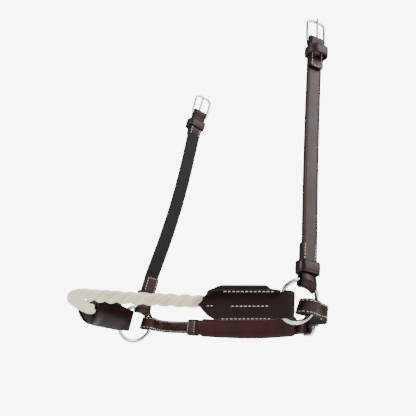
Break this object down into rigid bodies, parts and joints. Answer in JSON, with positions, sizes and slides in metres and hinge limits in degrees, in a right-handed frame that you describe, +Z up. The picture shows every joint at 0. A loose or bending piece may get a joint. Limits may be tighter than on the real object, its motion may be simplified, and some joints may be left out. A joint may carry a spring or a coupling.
{
  "type": "rope nose sidepull noseband",
  "caption": "Bitless rope noseband for a horse: laid rope nosepiece in leather wraps, round side rings, buckled cheek straps and a padded chin strap.",
  "frame": {"origin": "the rope's inner face at the middle of the nose, where the noseband lies on the horse", "axes": "+X to the horse's left, +Y back along the head from the rope to the chin strap, +Z up the cheek straps"},
  "size_m": [0.2549, 0.2186, 0.292],
  "materials": {
    "leather": "dressed dark chestnut leather with black edges",
    "lining": "matte black leather",
    "pad": "soft matte red-brown leather",
    "rope": "laid cream rope",
    "thread": "waxed cream thread",
    "steel": "polished stainless steel"
  },
  "bodies": {
    "noseband": {"nose_rope": "rope", "left_wrap": "leather", "right_wrap": "leather", "left_wrap_lining": "lining", "right_wrap_lining": "lining", "left_wrap_stitching": "thread", "right_wrap_stitching": "thread"},
    "left_ring": {"left_ring": "steel"},
    "left_cheek": {"left_cheek_strap": "leather", "left_cheek_stitching": "thread", "left_upper_keeper": "leather"},
    "left_lower_keeper": {"left_lower_keeper": "leather"},
    "left_buckle_frame": {"left_buckle_frame": "steel"},
    "left_buckle_tongue": {"left_buckle_tongue": "steel"},
    "right_ring": {"right_ring": "steel"},
    "right_cheek": {"right_cheek_strap": "leather", "right_cheek_stitching": "thread", "right_upper_keeper": "leather"},
    "right_lower_keeper": {"right_lower_keeper": "leather"},
    "right_buckle_frame": {"right_buckle_frame": "steel"},
    "right_buckle_tongue": {"right_buckle_tongue": "steel"},
    "chin": {"chin_strap": "leather", "chin_pad": "pad", "chin_keeper": "leather", "chin_buckle_frame": "steel", "chin_buckle_tongue": "steel", "chin_billet": "leather"}
  },
  "joints": [
    {"name": "left_ring_turn", "type": "hinge", "parent": "noseband", "child": "left_ring", "pos_m": [0.1156, 0.12464, -0.00322], "axis": [0.9192, -0.1954, -0.342], "continuous": true},
    {"name": "left_cheek_swing", "type": "hinge", "parent": "noseband", "child": "left_cheek", "pos_m": [0.1156, 0.12464, -0.00322], "axis": [0.9192, -0.1954, -0.342], "range_deg": [-25, 15]},
    {"name": "left_keeper_slide", "type": "slide", "parent": "left_cheek", "child": "left_lower_keeper", "axis": [-0.0689, 0.1561, 0.9853], "range_m": [-0.0005, 0.012]},
    {"name": "left_buckle_turn", "type": "hinge", "parent": "left_cheek", "child": "left_buckle_frame", "pos_m": [0.10948, 0.16429, 0.24078], "axis": [0.2196, 0.9658, -0.1376], "range_deg": [-30, 30]},
    {"name": "left_tongue_turn", "type": "hinge", "parent": "left_buckle_frame", "child": "left_buckle_tongue", "pos_m": [0.10948, 0.16429, 0.24078], "axis": [0.2196, 0.9658, -0.1376], "range_deg": [0, 75]},
    {"name": "right_ring_turn", "type": "hinge", "parent": "noseband", "child": "right_ring", "pos_m": [-0.11063, 0.12413, -0.00249], "axis": [0.9305, -0.1308, -0.342], "continuous": true},
    {"name": "right_cheek_swing", "type": "hinge", "parent": "noseband", "child": "right_cheek", "pos_m": [-0.11063, 0.12413, -0.00249], "axis": [0.9305, -0.1308, -0.342], "range_deg": [-9, 4]},
    {"name": "right_keeper_slide", "type": "slide", "parent": "right_cheek", "child": "right_lower_keeper", "axis": [0.0671, 0.2717, 0.96], "range_m": [-0.0005, 0.012]},
    {"name": "right_buckle_turn", "type": "hinge", "parent": "right_cheek", "child": "right_buckle_frame", "pos_m": [-0.09152, 0.192, 0.23545], "axis": [0.1254, 0.9523, -0.2782], "range_deg": [-30, 30]},
    {"name": "right_tongue_turn", "type": "hinge", "parent": "right_buckle_frame", "child": "right_buckle_tongue", "pos_m": [-0.09152, 0.192, 0.23545], "axis": [0.1254, 0.9523, -0.2782], "range_deg": [-75, 0]},
    {"name": "chin_swing", "type": "hinge", "parent": "noseband", "child": "chin", "pos_m": [0.00248, 0.12439, -0.00286], "axis": [1, 0.0022, -0.0032], "range_deg": [-9, 8]}
  ]
}
